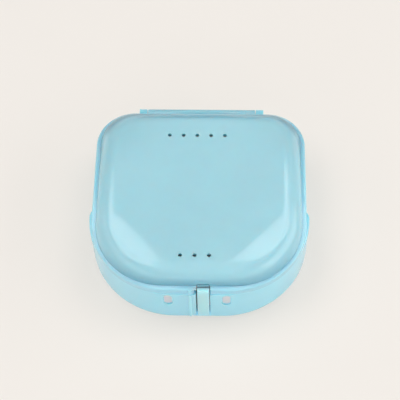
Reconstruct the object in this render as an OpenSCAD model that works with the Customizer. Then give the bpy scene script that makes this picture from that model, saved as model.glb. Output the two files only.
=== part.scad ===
// Denture case: a shallow tray with a domed, vented lid on a pinned hinge,
// a sprung latch tongue at the front and a white perforated drain tray inside.
// Millimetres, +Z up, the front of the case towards -Y.

/* [Case outline] */
// Width of the lid over its skirt
case_w = 81; // [70:0.5:95]
// Depth of the lid over its skirt, front to back
case_d = 78.2; // [72:0.1:88]
// Radius of the two rear corners in plan
rear_r = 15; // [13:0.1:18]
// Radius of the lid's two front corners in plan, over its skirt
front_r = 29; // [26:0.1:31]

/* [Base] */
// Height of the base's rim above the table
base_h = 19; // [17.5:0.1:23]
// Wall thickness of the base
base_wall = 1.5; // [1.3:0.1:1.9]
// Thickness of the base's floor
base_floor = 1.8; // [1.2:0.1:2.4]
// How far the thicker front half of the wall stands out past the skirt line at the sides
side_out = 1.2; // [0.8:0.1:1.6]
// How far it stands out past the skirt line in front
front_out = 0.4; // [0.2:0.1:0.8]
// How much rounder its two corners are in plan than the lid's
grip_softer = 4; // [1:0.1:5]
// How far the wall draws in from the rim down to the foot
foot_in = 0.2; // [0.1:0.1:0.8]
// Radius of the rounding round the foot
foot_r = 2.0; // [1:0.1:3]
// Height of the inner lip above the rim
lip_h = 1.6; // [1:0.1:1.7]
// Thickness of the inner lip
lip_t = 1.0; // [0.8:0.1:1.4]

/* [Lid] */
// Height of the whole case to the top of the lid
case_h = 28.2; // [27.5:0.1:36]
// Thickness of the lid's top and dome
lid_wall = 1.5; // [1.2:0.1:2]
// Height of the ledge's upper face above the rim
ledge_rise = 3.2; // [3.1:0.1:4.2]
// Width of the ledge round the dome
ledge_w = 1.8; // [1.4:0.1:2.1]
// Thickness of the skirt under the ledge
skirt_t = 1.2; // [0.9:0.1:1.6]
// Thickness of the ledge
ledge_t = 1.3; // [1:0.1:1.4]
// How much tighter the dome's two front corners are in plan than the skirt's
dome_tighter = 3.6; // [2:0.1:5]
// Width of the dome's rounded edge
edge_w = 7.5; // [5:0.1:9]
// Height of the dome's rounded edge
edge_h = 5.6; // [4:0.1:5.8]

/* [Vents] */
// Diameter of a vent hole in the lid
vent_d = 1.5; // [1:0.1:2.5]
// Distance between neighbouring vent holes
vent_pitch = 5.3; // [4:0.1:7]
// Number of vent holes in the rear row
vent_rear_n = 5; // [3:1:7]
// Number of vent holes in the front row
vent_front_n = 3; // [1:1:5]
// Distance of the rear row from the skirt line behind
vent_rear_in = 14.4; // [11:0.1:20]
// Distance of the front row from the skirt line in front
vent_front_in = 11.3; // [10:0.1:20]
// How far the vent rows lie to the left of the middle
vent_left = 1.2; // [0:0.1:2]

/* [Hinge] */
// Length of the hinge over both lugs
hinge_len = 49; // [40:0.2:50]
// Radius of the hinge barrel
barrel_r = 1.6; // [1.5:0.05:1.8]
// Distance of the hinge axis behind the lid's skirt line
axis_out = 2.0; // [2:0.05:2.6]
// Length of each lug on the base
lug_len = 3.0; // [2.4:0.1:5]
// Diameter of the hinge pin
pin_d = 1.2; // [1:0.1:1.4]
// How far each pin end lies inside its lug
pin_recess = 0.5; // [0.2:0.1:1]

/* [Latch] */
// Width of the latch tongue
tongue_w = 4.4; // [4:0.1:7]
// Place of the tongue's left edge to the right of the middle
tongue_x = -0.1; // [-0.4:0.1:1]
// Thickness of the tongue
tongue_t = 1.4; // [1.1:0.1:1.6]
// How far the tongue's foot stands proud of the wall
tongue_proud = 0.2; // [0:0.05:0.4]
// How far the tongue's top stands out past the skirt line
tongue_top_out = 0.6; // [0.4:0.05:0.8]
// Height of the tongue's top above the rim
tongue_rise = 3.1; // [2.8:0.1:3.1]
// Width of the slot to the left of the tongue
slot_left = 0.5; // [0.3:0.05:0.6]
// Width of the slot to the right of the tongue
slot_right = 0.3; // [0.25:0.05:0.6]
// Depth of the niche over the tongue, in from the skirt line
niche_in = 2.6; // [2.4:0.05:2.7]
// Height of the niche above the ledge
niche_rise = 1.4; // [0.6:0.1:1.6]
// How far the hook reaches in from the tongue
hook_reach = 0.9; // [0.6:0.05:1]
// Width of the upright rib beside the latch
rib_w = 1.8; // [1.2:0.1:2.2]
// How far the rib stands out from the wall
rib_out = 0.5; // [0.3:0.05:0.6]
// Distance of the rib's middle to the left of the case's middle
rib_x = 2.7; // [2.6:0.1:4]

/* [Front openings] */
// Width of each upright opening in the front wall
port_w = 3.3; // [2.6:0.1:4]
// Height of each opening
port_h = 7.4; // [6:0.1:7.8]
// Height of the openings' middle above the table
port_z = 14.4; // [12.5:0.1:14.6]
// Distance of each opening from the middle
port_x = 10.8; // [9:0.1:13]
// How far the middle between the openings lies to the left
port_left = 0.2; // [0:0.1:1]

/* [Drain tray] */
// Wall thickness of the drain tray
tray_wall = 1.1; // [0.9:0.1:1.5]
// Thickness of the drain tray's floor
tray_floor = 1.2; // [1:0.1:1.6]
// Height of the drain tray's feet
tray_foot = 1.5; // [1.4:0.1:2.5]
// Radius of the drain tray's feet
tray_foot_r = 2; // [1.4:0.1:2.4]
// Distance of the drain tray's rim below the base's rim
tray_drop = 0.7; // [0.7:0.1:1.4]
// Free space between the drain tray and the lip behind it
tray_rear_gap = 3.1; // [3:0.1:5]
// Diameter of a drain hole
drain_d = 3.2; // [2:0.1:3.8]
// Distance between neighbouring drain holes
drain_pitch = 9; // [7.5:0.5:12]
// Least distance between a drain hole and the tray's wall
drain_edge = 2.5; // [2:0.1:4]
// How far the tray's locating studs stop short of the wall's face
stud_short = 0.7; // [0.4:0.1:1.2]

/* [Fits] */
// Gap between the lid's skirt and the rim
seam_gap = 0.3; // [0.25:0.05:0.5]
// Sideways clearance between the skirt and the inner lip
lip_gap = 0.25; // [0.2:0.05:0.4]
// Clearance between parts that swing past each other
swing_gap = 0.3; // [0.25:0.05:0.5]
// Clearance round the pin in the lid's barrel
pin_gap = 0.05; // [0.03:0.01:0.1]
// Clearance round the pin in the base's lugs
pin_seat_gap = 0.02; // [0.01:0.01:0.05]
// Clearance round the tongue's root in its cradle
root_gap = 0.06; // [0.04:0.01:0.1]
// Clearance of a locating stud in its opening, each side
stud_gap = 0.15; // [0.1:0.05:0.3]
// What the hook passes the lid's catch by
catch_gap = 0.05; // [0.05:0.05:0.2]

/* [Hidden] */
$fn = 96;

blue = [0.64, 0.83, 0.88];
white = [0.93, 0.94, 0.95];
steel = [0.78, 0.79, 0.80];
beyond = 2;                              // how far a cutter runs past what it cuts
sunk = 0.3;                              // how deep an added shape sits in its wall

// Outlines in plan, each as half width, rear edge, front edge, rear and front corner radius.
// The box round the whole case is centred on the origin.
half_w = case_w / 2;
hinge_out = axis_out + barrel_r;         // the hinge's reach behind the skirt line
rib_reach = front_out + rib_out;         // the rib's reach in front of the skirt line
rear_y = (case_d - hinge_out + rib_reach) / 2;
front_y = rear_y - case_d;
wall_front_y = front_y + side_out - front_out;
wall_r = front_r + grip_softer - side_out;
skirt_line = [half_w, rear_y, front_y, rear_r, front_r];
wall_line = [half_w, rear_y, wall_front_y, rear_r, wall_r];
dome_line = [half_w - ledge_w, rear_y - ledge_w, front_y + ledge_w,
             rear_r - ledge_w, front_r - dome_tighter];
flat_band = 1.8;                         // flat margin that the swept edges carry

// Base
lip_out_u = -skirt_t - lip_gap;          // outer face of the lip
lip_in_u = lip_out_u - lip_t;
lip_z = base_h + lip_h;
lip_bevel = 0.3;
lip_foot = 1.6;                          // how far its inner face runs down below the rim
shoulder_z = base_h - lip_foot;
shoulder_h = 2.4;                        // height of the slope below that face
rim_bevel = 0.35;
inner_foot_r = 3;                        // rounding between floor and wall
floor_u = -base_wall - foot_in - inner_foot_r - flat_band;
grip_end_r = 3;                          // what the thicker wall's ends turn on
grip_root = grip_end_r - sunk;           // how deep its foot reaches in
grip_in = base_wall / 2;                 // its inner side, hidden in the wall
grip_floor = base_floor * 0.8;           // top of its foot, hidden in the floor

// Lid
skirt_z = base_h + seam_gap;
ledge_z = base_h + ledge_rise;
ledge_under = ledge_z - ledge_t;
ledge_edge_r = 0.6;
edge_z = case_h - edge_h;                // foot of the dome's rounded edge
dome_root = 0.6;                         // how deep the dome stands in the ledge
dome_u = -edge_w - flat_band;

// Hinge
axis_y = rear_y + axis_out;
axis_z = base_h;
lug_x = hinge_len / 2 - lug_len;         // inner face of a lug
gusset_h = 5.5;                          // how far a lug's foot runs down the wall
web_h = 1.2;                             // height of the web between lid and barrel

// Latch
root_r = tongue_t / 2;
root_z = base_floor + root_r + root_gap;
tongue_z = base_h + tongue_rise;
foot_u = face_u(root_z) + tongue_proud;  // outer face of the tongue at its foot
hook_top = tongue_z - 0.9;
hook_h = 1.3;
hook_tip_u = tongue_top_out - tongue_t - hook_reach;
mouth_left = 1.2;                        // the skirt's cut to the left of the tongue
mouth_right = 0.5;                       // and to its right

// Drain tray
tray_u = lip_in_u - swing_gap;
tray_z = base_floor + tray_foot;
tray_top = base_h - tray_drop;
tray_slide = tray_rear_gap - swing_gap;  // the tray is this much shorter behind
tray_line = [half_w, rear_y - tray_slide, wall_front_y, rear_r, wall_r];
tray_front_y = wall_front_y - tray_u;    // outer face of its front
tray_inner_r = 1.5;                      // rounding between the tray's floor and wall
tray_floor_u = tray_u - tray_wall - tray_inner_r - flat_band;
port_back_y = tray_front_y + drawn_back(tray_line, tray_u, port_x + port_left + port_w / 2);
drain_u = tray_u - tray_wall - drain_edge - drain_d / 2;
drain_n = floor(case_w / drain_pitch / 2);
tray_foot_x = 24;
tray_foot_y = 20;

// Outer face of the base's wall at a height, counted out from the wall's own line
function wall_u(z) = -foot_in * (1 - z / base_h);

// Outer face of its front, counted out from the skirt line
function face_u(z) = front_out + wall_u(z);

// Points along an arc, or along a quarter of an oval of width w and height h
function arc(c, r, from, to, n = 8) = oval(c, r, r, from, to, n);
function oval(c, w, h, from, to, n = 8) =
    [for (i = [0:n]) let (a = from + (to - from) * i / n) c + [w * cos(a), h * sin(a)]];

// How far the front of an outline moved by u has drawn back at x from the middle
function drawn_back(line, u, x) =
    let (r = line[4] + u, bent = max(0, x - line[0] + line[4])) r - sqrt(r * r - bent * bent);

// Whether a point lies inside the drain tray's outline moved by u
function inside(x, y, u) =
    let (ax = abs(x), rx = tray_line[0] - tray_line[3], ry = tray_line[1] - tray_line[3],
         fx = tray_line[0] - tray_line[4], fy = tray_line[2] + tray_line[4])
    ax < tray_line[0] + u && y < tray_line[1] + u && y > tray_line[2] - u
    && (ax < rx || y < ry || norm([ax - rx, y - ry]) < tray_line[3] + u)
    && (ax < fx || y > fy || norm([ax - fx, y - fy]) < tray_line[4] + u);

// Carries a flat profile once round an outline. In the profile, x counts out from
// the outline and y is the height.
module round_the_case(line) {
    rear_cx = line[0] - line[3];
    rear_cy = line[1] - line[3];
    run(-rear_cx, line[1], 90, 2 * rear_cx) children();
    run(line[0], rear_cy, 0, rear_cy - line[2] - line[4]) children();
    run(-line[0], line[2] + line[4], 180, rear_cy - line[2] - line[4]) children();
    bend(rear_cx, rear_cy, line[3], 0) children();
    bend(-rear_cx, rear_cy, line[3], 90) children();
    round_the_front(line) children();
}

// The same, but only along the front and its two corners
module round_the_front(line) {
    front_cx = line[0] - line[4];
    front_cy = line[2] + line[4];
    run(front_cx, line[2], -90, 2 * front_cx) children();
    bend(front_cx, front_cy, line[4], -90) children();
    bend(-front_cx, front_cy, line[4], 180) children();
}

// A straight stretch of the outline
module run(x, y, facing, length) {
    translate([x, y, 0]) rotate([0, 0, facing]) rotate([90, 0, 0])
        linear_extrude(length) children();
}

// A rounded corner of the outline
module bend(x, y, r, from) {
    translate([x, y, 0]) rotate([0, 0, from])
        rotate_extrude(angle = 90) translate([r, 0]) children();
}

// A plate that fills an outline's middle, its edge hidden in the flat margin of the
// swept edges, which ends u inside the outline
module middle(line, u, z0, z1) {
    in = u + flat_band / 2;
    rear_cx = line[0] - line[3];
    front_cx = line[0] - line[4];
    translate([0, 0, z0]) linear_extrude(z1 - z0) polygon(concat(
        arc([rear_cx, line[1] - line[3]], line[3] + in, 0, 90),
        arc([-rear_cx, line[1] - line[3]], line[3] + in, 90, 180),
        arc([-front_cx, line[2] + line[4]], line[4] + in, 180, 270, 12),
        arc([front_cx, line[2] + line[4]], line[4] + in, 270, 360, 12)
    ));
}

// A profile in y and z, drawn out along x between x0 and x1
module along_x(x0, x1) {
    translate([x0, 0, 0]) rotate([90, 0, 90]) linear_extrude(x1 - x0) children();
}

// The same for a profile in u and z at the front of the case
module at_front(x0, x1) {
    along_x(x0, x1) translate([front_y, 0]) mirror([1, 0]) children();
}

// An upright slot with round ends, drawn out from y0 to y1
module upright_slot(x, y0, y1, w, h) {
    reach = (h - w) / 2;
    translate([x, y1, port_z]) rotate([90, 0, 0]) linear_extrude(y1 - y0) {
        for (s = [-1, 1]) translate([0, s * reach]) circle(w / 2, $fn = 48);
        translate([-w / 2, -reach]) square([w, 2 * reach]);
    }
}

// The base's wall, foot and the margin of its floor
module base_profile() {
    foot_c = -base_wall - foot_in - inner_foot_r;
    polygon(concat(
        [[floor_u, 0]],
        arc([wall_u(foot_r) - foot_r, foot_r], foot_r, -90, 0),
        [[wall_u(base_h - rim_bevel), base_h - rim_bevel], [-rim_bevel, base_h],
         [-base_wall, base_h]],
        arc([foot_c, base_floor + inner_foot_r], inner_foot_r, 0, -90),
        [[floor_u, base_floor]]
    ));
}

// What makes the front half of the wall thicker
module grip_profile() {
    polygon(concat(
        [[-grip_root, 0]],
        arc([side_out + wall_u(foot_r) - foot_r, foot_r], foot_r, -90, 0),
        [[side_out + wall_u(base_h - rim_bevel), base_h - rim_bevel],
         [side_out - rim_bevel, base_h], [-grip_in, base_h],
         [-grip_in, grip_floor], [-grip_root, grip_floor]]
    ));
}

// The rounded end of the thicker half at the right, without what would lie inside the case
module grip_end() {
    end_y = wall_front_y + wall_r;
    difference() {
        bend(half_w - grip_end_r, end_y, grip_end_r, 0) grip_profile();
        translate([half_w - grip_in / 2 - 2 * grip_end_r, end_y - beyond, grip_floor])
            cube([2 * grip_end_r, 2 * grip_end_r + beyond, base_h]);
    }
}

// The inner lip and the shoulder that carries it
module lip_profile() {
    polygon([[lip_out_u + sunk, shoulder_z - shoulder_h], [lip_out_u + sunk, base_h - rim_bevel],
             [lip_out_u, base_h - rim_bevel], [lip_out_u, lip_z - lip_bevel],
             [lip_out_u - lip_bevel, lip_z], [lip_in_u + lip_bevel / 2, lip_z],
             [lip_in_u, lip_z - lip_bevel / 2], [lip_in_u, shoulder_z],
             [-base_wall + sunk / 2, shoulder_z - shoulder_h]]);
}

// The lid's skirt and ledge
module skirt_profile() {
    inner_u = -ledge_w - lid_wall + sunk;
    polygon(concat(
        [[inner_u, ledge_under], [inner_u, ledge_z]],
        arc([-ledge_edge_r, ledge_z - ledge_edge_r], ledge_edge_r, 90, 0, 6),
        [[0, skirt_z], [-skirt_t, skirt_z], [-skirt_t, ledge_under]]
    ));
}

// The dome's edge, from its root in the ledge to the flat margin of its top
module dome_profile() {
    polygon(concat(
        [[dome_u, case_h - lid_wall], [dome_u, case_h]],
        oval([-edge_w, edge_z], edge_w, edge_h, 90, 0, 16),
        [[0, ledge_z - dome_root], [-lid_wall - dome_root, ledge_z - dome_root]],
        oval([-edge_w, edge_z], edge_w - lid_wall, edge_h - lid_wall, 0, 90, 16)
    ));
}

module lug() {
    translate([axis_y, axis_z]) circle(barrel_r);
    polygon([[rear_y - sunk, axis_z - sunk], [rear_y - sunk, axis_z - gusset_h],
             [axis_y + barrel_r * sin(30), axis_z - barrel_r * cos(30)], [axis_y, axis_z]]);
}

module barrel() {
    translate([axis_y, axis_z]) circle(barrel_r);
    polygon([[rear_y - sunk, skirt_z], [rear_y - sunk, skirt_z + web_h],
             [axis_y - barrel_r * 0.6, axis_z + barrel_r * 0.8], [axis_y, skirt_z]]);
}

module across(r, length) {
    translate([-length / 2, axis_y, axis_z]) rotate([0, 90, 0]) cylinder(r = r, h = length);
}

// The round rib beside the latch, leaning with the wall
module wall_rib() {
    r = rib_w / 2;
    intersection() {
        translate([-rib_x, front_y - face_u(0), 0]) rotate([atan(foot_in / base_h), 0, 0])
            translate([0, r - rib_out, 0]) cylinder(r = r, h = base_h + beyond);
        translate([-rib_x - r, front_y - front_out - beyond, foot_r])
            cube([rib_w, front_out + beyond + base_wall, base_h - foot_r]);
    }
}

module base_shell() {
    clear_y = front_y - front_out - beyond;  // in front of the whole wall
    color(blue) {
        difference() {
            union() {
                round_the_case(wall_line) base_profile();
                middle(wall_line, floor_u, 0, base_floor);
                round_the_front(wall_line) grip_profile();
                for (s = [0, 1]) mirror([s, 0, 0]) grip_end();
                round_the_case(skirt_line) lip_profile();
            }
            across(barrel_r + swing_gap, 2 * lug_x);
            for (s = [-1, 1])
                upright_slot(s * port_x - port_left, clear_y, port_back_y, port_w, port_h);
            translate([tongue_x - slot_left, clear_y, root_z])
                cube([slot_left + tongue_w + slot_right, tray_front_y - clear_y, base_h]);
            at_front(tongue_x - slot_left, tongue_x + tongue_w + slot_right)
                translate([foot_u - root_r, root_z]) circle(root_r + root_gap, $fn = 48);
        }
        wall_rib();
        difference() {
            for (s = [-1, 1]) along_x(s * (lug_x + lug_len / 2) - lug_len / 2, s * (lug_x + lug_len / 2) + lug_len / 2)
                lug();
            across(pin_d / 2 + pin_seat_gap, hinge_len + beyond);
        }
    }
}

// The rib's upper end, on the lid's skirt and ledge
module skirt_rib() {
    r = rib_w / 2;
    out = front_out + rib_out / 2;
    intersection() {
        translate([-rib_x, front_y + r - out, skirt_z]) {
            cylinder(r = r, h = ledge_z - skirt_z);
            translate([-r, 0, 0]) cube([rib_w, ledge_w - r + out, ledge_z - skirt_z]);
        }
        translate([-rib_x - r, front_y - beyond, skirt_z])
            cube([rib_w, beyond + skirt_t, ledge_z - skirt_z]);
    }
}

module lid_shell() {
    color(blue) {
        difference() {
            union() {
                round_the_case(skirt_line) skirt_profile();
                round_the_case(dome_line) dome_profile();
                middle(dome_line, dome_u, case_h - lid_wall, case_h);
                along_x(-lug_x + swing_gap, lug_x - swing_gap) barrel();
            }
            across(pin_d / 2 + pin_gap, hinge_len);
            vent_row(vent_rear_n, rear_y - vent_rear_in);
            vent_row(vent_front_n, front_y + vent_front_in);
            translate([tongue_x - slot_right, front_y - beyond, skirt_z - beyond])
                cube([tongue_w + 2 * slot_right, beyond + niche_in, ledge_z + niche_rise - skirt_z + beyond]);
            translate([tongue_x - mouth_left, front_y - beyond, skirt_z - beyond])
                cube([mouth_left + tongue_w + mouth_right, beyond + skirt_t, ledge_rise - seam_gap - sunk + beyond]);
        }
        skirt_rib();
        translate([tongue_x, front_y - hook_tip_u + catch_gap, hook_top + catch_gap])
            cube([tongue_w, niche_in + hook_tip_u - catch_gap + sunk, ledge_z - hook_top - catch_gap]);
    }
}

module vent_row(n, y) {
    for (i = [0:n - 1])
        translate([-vent_left + (i - (n - 1) / 2) * vent_pitch, y, case_h - lid_wall - beyond])
            cylinder(d = vent_d, h = lid_wall + 2 * beyond, $fn = 32);
}

module hinge_pin() {
    color(steel) across(pin_d / 2, hinge_len - 2 * pin_recess);
}

module latch_tongue() {
    color(blue) at_front(tongue_x, tongue_x + tongue_w) {
        polygon(concat(
            arc([foot_u - root_r, root_z], root_r, 180, 360, 24),
            [[tongue_top_out, tongue_z], [tongue_top_out - tongue_t, tongue_z],
             [tongue_top_out - tongue_t, hook_top], [hook_tip_u, hook_top - catch_gap],
             [hook_tip_u, hook_top - hook_h / 2],
             [tongue_top_out - tongue_t, hook_top - hook_h - hook_reach]]
        ));
    }
}

module tray_profile() {
    wall_in = tray_u - tray_wall;
    polygon(concat(
        [[tray_floor_u, tray_z], [tray_u, tray_z], [tray_u, tray_top], [wall_in, tray_top]],
        arc([wall_in - tray_inner_r, tray_z + tray_floor + tray_inner_r], tray_inner_r, 0, -90, 4),
        [[tray_floor_u, tray_z + tray_floor]]
    ));
}

module drain_tray() {
    color(white) {
        difference() {
            union() {
                round_the_case(tray_line) tray_profile();
                middle(tray_line, tray_floor_u, tray_z, tray_z + tray_floor);
            }
            for (i = [-drain_n:drain_n], j = [-drain_n:drain_n])
                if (inside(i * drain_pitch, j * drain_pitch, drain_u))
                    translate([i * drain_pitch, j * drain_pitch, tray_z - beyond])
                        cylinder(d = drain_d, h = tray_floor + 2 * beyond, $fn = 32);
        }
        for (sx = [-1, 1], sy = [-1, 1])
            translate([sx * tray_foot_x, sy * tray_foot_y, base_floor])
                cylinder(r = tray_foot_r, h = tray_foot + tray_floor / 2, $fn = 32);
        for (s = [-1, 1])
            upright_slot(s * port_x - port_left, front_y - face_u(port_z) + stud_short,
                port_back_y + sunk, port_w - 2 * stud_gap, port_h - 2 * stud_gap);
    }
}

base_shell();
lid_shell();
hinge_pin();
latch_tongue();
drain_tray();
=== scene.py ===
"""Looks of the denture case: glossy moulded plastic, a white tray, a steel pin, soft studio light."""
import math

import bpy
from mathutils import Matrix, Vector

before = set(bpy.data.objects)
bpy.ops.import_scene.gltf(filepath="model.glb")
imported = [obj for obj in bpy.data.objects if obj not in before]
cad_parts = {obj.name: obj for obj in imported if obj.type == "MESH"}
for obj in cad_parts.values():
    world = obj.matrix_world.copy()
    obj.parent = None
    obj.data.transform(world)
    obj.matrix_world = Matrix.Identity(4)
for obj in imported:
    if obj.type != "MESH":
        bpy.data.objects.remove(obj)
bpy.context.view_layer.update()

# Camera, as found from the outline, the vents and the front openings
AZIMUTH = 2.46
ELEVATION = 59.0
ROLL = 1.58
DISTANCE = 0.5
FOCAL_PX = 1297.56
FRAME_PX = 400
SENSOR_MM = 36
TARGET = Vector((0.00004, 0.00214, 0.015))

# Skin of the plastic, in metres, and how much its roughness varies
EDGE_ROUND = 0.00015
WAVE_DEPTH = 0.000003
GRAIN_DEPTH = 0.0000002
GLOSS_SWING = 0.02
PLASTIC_IOR = 1.49
SHARP_ANGLE = 35

# Light inside the plastic: how deep it goes for red, green and blue. Painted light: a glow in narrow gaps,
# how far it looks, its strength and its colour on the white tray
GLOW_DEPTH = 0.003
GLOW_COLOURS = (0.5, 1.0, 1.15)
GAP_REACH = 0.0012
PAINTED_GLOW_STRENGTH = 0.3
PAINTED_GLOW_COLOUR = (0.30, 0.60, 0.70, 1)

# Lid: its heights, its middle, and the fall of its corners outside a diamond, per metre squared
LEDGE_TOP = 0.0222
CASE_TOP = 0.0282
DOME_MIDDLE_Y = -0.0013
DIAMOND = 0.040
CORNER_DROP = 5.5

# Painted shade: its colour, and its share on the dome's front and sides, the ledge and the hinge
SHADE_COLOUR = (0.46, 0.65, 0.71, 1)
FRONT_SHADE_SHARE = 0.78
SIDE_SHADE_SHARE = 0.08
LEDGE_SHADE_SHARE = 0.22
HINGE_SHADE_SHARE = 0.4

# Painted shade: where each soft step starts and ends
HINGE_Y = (0.0365, 0.0385)
LEDGE_Z = (LEDGE_TOP - 0.0001, LEDGE_TOP + 0.0007)
STEEP_Z = (CASE_TOP - 0.0008, CASE_TOP - 0.0048)
BROW_Z = (CASE_TOP - 0.0001, CASE_TOP - 0.0012)
BROW_Y = (0.022, 0.030)
FRONT_TO_REAR_Y = (-0.01, 0.01)
OFF_MIDDLE_Y = (0.018, 0.032)

# Floor and backdrop
PAPER = (237, 232, 226)
PAPER_SWING = 2
FLOOR_REACH = 3.0
SHADOW_LIFT = 0.58


def camera():
    az, el, roll = (math.radians(a) for a in (AZIMUTH, ELEVATION, ROLL))
    back = Vector((math.sin(az) * math.cos(el), -math.cos(az) * math.cos(el), math.sin(el)))
    right = Vector((math.cos(az), math.sin(az), 0))
    up = back.cross(right)
    right_rolled = math.cos(roll) * right - math.sin(roll) * up
    up_rolled = math.sin(roll) * right + math.cos(roll) * up
    data = bpy.data.cameras.new("camera")
    data.sensor_width = SENSOR_MM
    data.lens = FOCAL_PX / FRAME_PX * SENSOR_MM
    data.clip_start = 0.01
    data.clip_end = 20
    cam = bpy.data.objects.new("camera", data)
    bpy.context.scene.collection.objects.link(cam)
    turn = Matrix((right_rolled, up_rolled, back)).transposed().to_4x4()
    cam.matrix_world = Matrix.Translation(TARGET + DISTANCE * back) @ turn
    bpy.context.scene.camera = cam


def srgb(r, g, b):
    def lin(v):
        v /= 255
        return v / 12.92 if v <= 0.04045 else ((v + 0.055) / 1.055) ** 2.4
    return (lin(r), lin(g), lin(b), 1)


def add(tree, kind, place=(0, 0), **values):
    """A new node; a value goes to the node's own setting of that name, or else to the input."""
    n = tree.nodes.new("ShaderNode" + kind)
    n.location = place
    for key, value in values.items():
        if hasattr(n, key):
            setattr(n, key, value)
        else:
            n.inputs[key.replace("_", " ")].default_value = value
    return n


def ramp(t, source, steps, low=0.0, high=1.0):
    """A soft step from low to high as the source goes from the first of the steps to the second."""
    step = add(t, "MapRange", (-800, 650), interpolation_type="SMOOTHSTEP")
    step.inputs["From Min"].default_value = steps[0]
    step.inputs["From Max"].default_value = steps[1]
    step.inputs["To Min"].default_value = low
    step.inputs["To Max"].default_value = high
    t.links.new(source, step.inputs["Value"])
    return step.outputs["Result"]


def combine(t, operation, *values, clamp=False):
    """A Math node on one or two values, each a number or another node's output."""
    n = add(t, "Math", (-600, 600), operation=operation, use_clamp=clamp)
    for place, value in enumerate(values):
        if isinstance(value, float):
            n.inputs[place].default_value = value
        else:
            t.links.new(value, n.inputs[place])
    return n.outputs["Value"]


def off_middle(t, place, axis, middle):
    """How far a point lies from the middle, on either side."""
    return combine(t, "ABSOLUTE", combine(t, "SUBTRACT", place.outputs[axis], middle))


def new_material(name):
    """An empty material: its node tree, its shader and its texture coordinates."""
    m = bpy.data.materials.new(name)
    m.use_nodes = True
    t = m.node_tree
    t.nodes.clear()
    out = add(t, "OutputMaterial", (900, 0))
    shader = add(t, "BsdfPrincipled", (600, 0))
    t.links.new(shader.outputs["BSDF"], out.inputs["Surface"])
    return m, t, shader, add(t, "TexCoord", (-1200, 0))


def plastic(name, colour, tint, roughness, painted_shade=False, domed=False, painted_glow_colour=None):
    """Glossy moulded plastic: faint flow marks, uneven gloss, fine rubbed scratches and softened edges."""
    m, t, b, co = new_material(name)
    b.inputs["IOR"].default_value = PLASTIC_IOR
    b.inputs["Subsurface Weight"].default_value = 1.0
    b.inputs["Subsurface Radius"].default_value = GLOW_COLOURS
    b.inputs["Subsurface Scale"].default_value = GLOW_DEPTH

    # colour: broad flow marks from the gate
    flow = add(t, "TexNoise", (-800, 300), Scale=32.0, Detail=3.0, Roughness=0.55, Distortion=0.6)
    t.links.new(co.outputs["Object"], flow.inputs["Vector"])
    share = add(t, "MapRange", (-550, 300))
    share.inputs["From Min"].default_value = 0.35
    share.inputs["From Max"].default_value = 0.65
    t.links.new(flow.outputs["Fac"], share.inputs["Value"])
    body = add(t, "Mix", (-300, 300), data_type="RGBA", blend_type="MIX")
    t.links.new(share.outputs["Result"], body.inputs["Factor"])
    body.inputs["A"].default_value = colour
    body.inputs["B"].default_value = tint
    place = add(t, "SeparateXYZ", (-1000, 550))
    t.links.new(co.outputs["Object"], place.inputs["Vector"])
    # painted shade: a darker tone round the hinge and, on the lid, on the dome's edge
    if painted_shade:
        body = paint_shade(t, place, body, domed)
    # painted light: a glow from the plastic in narrow gaps
    painted_gap_glow(t, b, painted_glow_colour or colour)
    t.links.new(body.outputs["Result"], b.inputs["Base Color"])

    # gloss: cloudy, with hairline scratches that run mostly one way
    cloud = add(t, "TexNoise", (-800, 0), Scale=90.0, Detail=4.0, Roughness=0.6)
    t.links.new(co.outputs["Object"], cloud.inputs["Vector"])
    spread = add(t, "Mapping", (-1000, -150))
    spread.inputs["Rotation"].default_value = (0.2, 0.1, 0.5)
    spread.inputs["Scale"].default_value = (60, 2400, 900)
    t.links.new(co.outputs["Object"], spread.inputs["Vector"])
    hair = add(t, "TexNoise", (-800, -150), Scale=1.0, Detail=2.0)
    t.links.new(spread.outputs["Vector"], hair.inputs["Vector"])
    both = add(t, "Mix", (-550, -80), data_type="FLOAT")
    both.inputs["Factor"].default_value = 0.35
    t.links.new(cloud.outputs["Fac"], both.inputs["A"])
    t.links.new(hair.outputs["Fac"], both.inputs["B"])
    gloss = add(t, "MapRange", (-300, 0))
    gloss.inputs["From Min"].default_value = 0.3
    gloss.inputs["From Max"].default_value = 0.7
    gloss.inputs["To Min"].default_value = roughness - GLOSS_SWING
    gloss.inputs["To Max"].default_value = roughness + GLOSS_SWING
    t.links.new(both.outputs["Result"], gloss.inputs["Value"])
    t.links.new(gloss.outputs["Result"], b.inputs["Roughness"])

    # skin: softened edges, then the mould's long waves, then a fine grain
    edge = add(t, "Bevel", (-300, -400), samples=6)
    edge.inputs["Radius"].default_value = EDGE_ROUND
    wave = add(t, "TexNoise", (-800, -550), Scale=60.0, Detail=2.0)
    t.links.new(co.outputs["Object"], wave.inputs["Vector"])
    long = add(t, "Bump", (0, -550), Strength=1.0, Distance=WAVE_DEPTH)
    t.links.new(wave.outputs["Fac"], long.inputs["Height"])
    t.links.new(edge.outputs["Normal"], long.inputs["Normal"])
    grain = add(t, "TexNoise", (-800, -300), Scale=2400.0, Detail=2.0)
    t.links.new(co.outputs["Object"], grain.inputs["Vector"])
    skin = add(t, "Bump", (250, -400), Strength=1.0, Distance=GRAIN_DEPTH)
    t.links.new(grain.outputs["Fac"], skin.inputs["Height"])
    t.links.new(long.outputs["Normal"], skin.inputs["Normal"])
    if domed:
        skin = crown(t, place, skin)
    t.links.new(skin.outputs["Normal"], b.inputs["Normal"])
    return m


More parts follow.
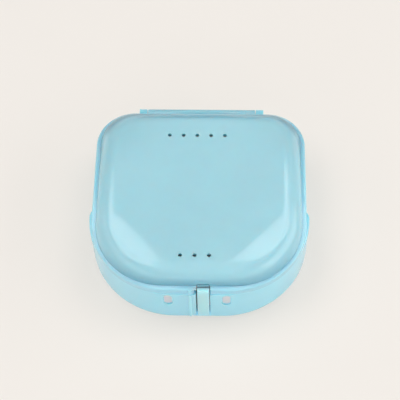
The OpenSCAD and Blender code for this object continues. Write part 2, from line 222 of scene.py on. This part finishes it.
def paint_shade(t, place, body, domed):
    """Paints shade into the colour: a darker tone round the hinge and on the dome's steep edge, brow and
    ledge.
    """
    y = place.outputs["Y"]
    z = place.outputs["Z"]
    share = ramp(t, y, HINGE_Y, high=HINGE_SHADE_SHARE)
    if domed:
        above_ledge = ramp(t, z, LEDGE_Z, low=LEDGE_SHADE_SHARE)
        steep = combine(t, "MULTIPLY", above_ledge, ramp(t, z, STEEP_Z))
        ends = ramp(t, off_middle(t, place, "Y", DOME_MIDDLE_Y), OFF_MIDDLE_Y, low=SIDE_SHADE_SHARE)
        rearward = ramp(t, y, FRONT_TO_REAR_Y, low=FRONT_SHADE_SHARE)
        edge = combine(t, "MULTIPLY", steep, combine(t, "MULTIPLY", ends, rearward))
        share = combine(t, "MAXIMUM", share, edge)
        brow = combine(t, "MULTIPLY", ramp(t, z, BROW_Z), ramp(t, y, BROW_Y))
        share = combine(t, "MAXIMUM", share, combine(t, "MULTIPLY", brow, above_ledge))
    painted_shade = add(t, "Mix", (0, 300), data_type="RGBA", blend_type="MULTIPLY")
    painted_shade.inputs["B"].default_value = SHADE_COLOUR
    t.links.new(share, painted_shade.inputs["Factor"])
    t.links.new(body.outputs["Result"], painted_shade.inputs["A"])
    return painted_shade


def painted_gap_glow(t, b, colour):
    """Painted light: a weak emission in narrow gaps, standing in for the light that the translucent plastic
    passes into them.
    """
    near = add(t, "AmbientOcclusion", (0, -150), samples=6)
    near.inputs["Distance"].default_value = GAP_REACH
    b.inputs["Emission Color"].default_value = colour
    t.links.new(ramp(t, near.outputs["AO"], (0.45, 0.1), high=PAINTED_GLOW_STRENGTH), b.inputs["Emission Strength"])


def crown(t, place, skin):
    """Draws the lid's four corners down softly, outside a diamond over its middle."""
    across = off_middle(t, place, "X", 0.0)
    along = off_middle(t, place, "Y", DOME_MIDDLE_Y)
    beyond = combine(t, "SUBTRACT", combine(t, "ADD", across, along), DIAMOND, clamp=True)
    drop = add(t, "Bump", (400, -700), Strength=1.0, Distance=CORNER_DROP, invert=True)
    t.links.new(combine(t, "MULTIPLY", beyond, beyond), drop.inputs["Height"])
    t.links.new(skin.outputs["Normal"], drop.inputs["Normal"])
    return drop


def steel(name):
    """Drawn steel wire: fine rings round the pin and a slight variation of gloss."""
    m, t, b, co = new_material(name)
    b.inputs["Metallic"].default_value = 1
    spread = add(t, "Mapping", (-800, 0))
    spread.inputs["Scale"].default_value = (8.0, 1.0, 1.0)
    t.links.new(co.outputs["Object"], spread.inputs["Vector"])
    rings = add(t, "TexNoise", (-600, 0), Scale=900.0, Detail=3.0)
    t.links.new(spread.outputs["Vector"], rings.inputs["Vector"])
    mix = add(t, "Mix", (-200, 200), data_type="RGBA")
    mix.inputs["A"].default_value = srgb(168, 170, 173)
    mix.inputs["B"].default_value = srgb(205, 206, 207)
    t.links.new(rings.outputs["Fac"], mix.inputs["Factor"])
    t.links.new(mix.outputs["Result"], b.inputs["Base Color"])
    gloss = add(t, "MapRange", (-200, -50))
    gloss.inputs["To Min"].default_value = 0.22
    gloss.inputs["To Max"].default_value = 0.42
    t.links.new(rings.outputs["Fac"], gloss.inputs["Value"])
    t.links.new(gloss.outputs["Result"], b.inputs["Roughness"])
    bump = add(t, "Bump", (200, -200), Strength=0.3, Distance=0.00003)
    t.links.new(rings.outputs["Fac"], bump.inputs["Height"])
    t.links.new(bump.outputs["Normal"], b.inputs["Normal"])
    return m


def dress(node, material):
    """Gives a CAD node its material and smooth shading, with its sharp edges kept."""
    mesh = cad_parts[node].data
    mesh.materials.clear()
    mesh.materials.append(material)
    for p in mesh.polygons:
        p.use_smooth = True
        p.material_index = 0
    mesh.set_sharp_from_angle(angle=math.radians(SHARP_ANGLE))


def softbox(name, elevation, azimuth, width, height, radiance):
    """A panel lamp a metre from the case. Azimuth 0 is in front of it, 90 to its right."""
    e, z = math.radians(elevation), math.radians(azimuth)
    away = Vector((math.sin(z) * math.cos(e), -math.cos(z) * math.cos(e), math.sin(e)))
    data = bpy.data.lights.new(name, "AREA")
    data.shape = "RECTANGLE"
    data.size = width
    data.size_y = height
    data.energy = radiance * math.pi * width * height
    ob = bpy.data.objects.new(name, data)
    bpy.context.scene.collection.objects.link(ob)
    turn = away.to_track_quat("Z", "Y").to_matrix().to_4x4()
    ob.matrix_world = Matrix.Translation(TARGET + away) @ turn


def backdrop():
    """A pale paper floor, whose shadows the camera sees softened."""
    mesh = bpy.data.meshes.new("floor")
    r = FLOOR_REACH
    mesh.from_pydata([(-r, -r, 0), (r, -r, 0), (r, r, 0), (-r, r, 0)], [], [(0, 1, 2, 3)])
    floor = bpy.data.objects.new("floor", mesh)
    bpy.context.scene.collection.objects.link(floor)
    m = bpy.data.materials.new("pale_paper")
    m.use_nodes = True
    t = m.node_tree
    b = t.nodes["Principled BSDF"]
    b.inputs["Roughness"].default_value = 0.8
    b.inputs["Specular IOR Level"].default_value = 0.1
    co = add(t, "TexCoord", (-900, 0))
    n = add(t, "TexNoise", (-700, 0), Scale=14.0, Detail=2.0)
    t.links.new(co.outputs["Object"], n.inputs["Vector"])
    mix = add(t, "Mix", (-300, 0), data_type="RGBA")
    mix.inputs["A"].default_value = srgb(*PAPER)
    mix.inputs["B"].default_value = srgb(*(v + PAPER_SWING for v in PAPER))
    t.links.new(n.outputs["Fac"], mix.inputs["Factor"])
    t.links.new(mix.outputs["Result"], b.inputs["Base Color"])
    glow = add(t, "Emission", (0, -300))
    t.links.new(mix.outputs["Result"], glow.inputs["Color"])
    path = add(t, "LightPath", (-600, 300))
    seen = combine(t, "MAXIMUM", path.outputs["Is Camera Ray"], path.outputs["Is Glossy Ray"])
    seen = combine(t, "MAXIMUM", seen, path.outputs["Is Transmission Ray"])
    blend = add(t, "MixShader", (300, 200))
    t.links.new(combine(t, "MULTIPLY", seen, SHADOW_LIFT), blend.inputs["Fac"])
    t.links.new(b.outputs["BSDF"], blend.inputs[1])
    t.links.new(glow.outputs["Emission"], blend.inputs[2])
    t.links.new(blend.outputs["Shader"], t.nodes["Material Output"].inputs["Surface"])
    mesh.materials.append(m)


def studio():
    """A dim pale world and eight panel lamps: name, elevation, azimuth, width, height, radiance."""
    world = bpy.data.worlds.new("studio")
    bpy.context.scene.world = world
    world.use_nodes = True
    background = world.node_tree.nodes["Background"]
    background.inputs["Color"].default_value = srgb(250, 248, 245)
    background.inputs["Strength"].default_value = 0.15
    softbox("overhead", 90, 0, 0.8, 0.8, 0.45)
    softbox("left_key", 62, -105, 0.9, 0.5, 3.1)
    softbox("right_key", 60, 128, 0.6, 0.47, 3.1)
    softbox("left_panel", 26, -85, 1.2, 0.5, 0.8)
    softbox("right_panel", 26, 85, 1.2, 0.5, 2.3)
    softbox("front", 55, 0, 0.6, 0.6, 0.4)
    softbox("front_left_low", 17, -30, 1.2, 0.5, 1.2)
    softbox("front_right_low", 17, 30, 1.2, 0.5, 1.2)


camera()
lid_blue = plastic("aqua_plastic_lid", srgb(165, 211, 226), srgb(168, 214, 229), 0.11, painted_shade=True, domed=True)
# base and latch: the lid's plastic painted lighter, painted light for their brightly lit front faces
lit_base_blue = plastic("aqua_plastic_base_lit", srgb(162, 219, 237), srgb(165, 222, 240), 0.14, painted_shade=True)
lit_latch_blue = plastic("aqua_plastic_latch_lit", srgb(174, 227, 244), srgb(177, 230, 247), 0.14, painted_shade=True)
white = plastic("white_plastic", srgb(212, 208, 208), srgb(217, 213, 213), 0.3, painted_glow_colour=PAINTED_GLOW_COLOUR)
dress("base_shell", lit_base_blue)
dress("lid_shell", lid_blue)
dress("latch_tongue", lit_latch_blue)
dress("drain_tray", white)
dress("hinge_pin", steel("drawn_steel"))
backdrop()
studio()

bpy.context.scene.view_settings.view_transform = "Standard"
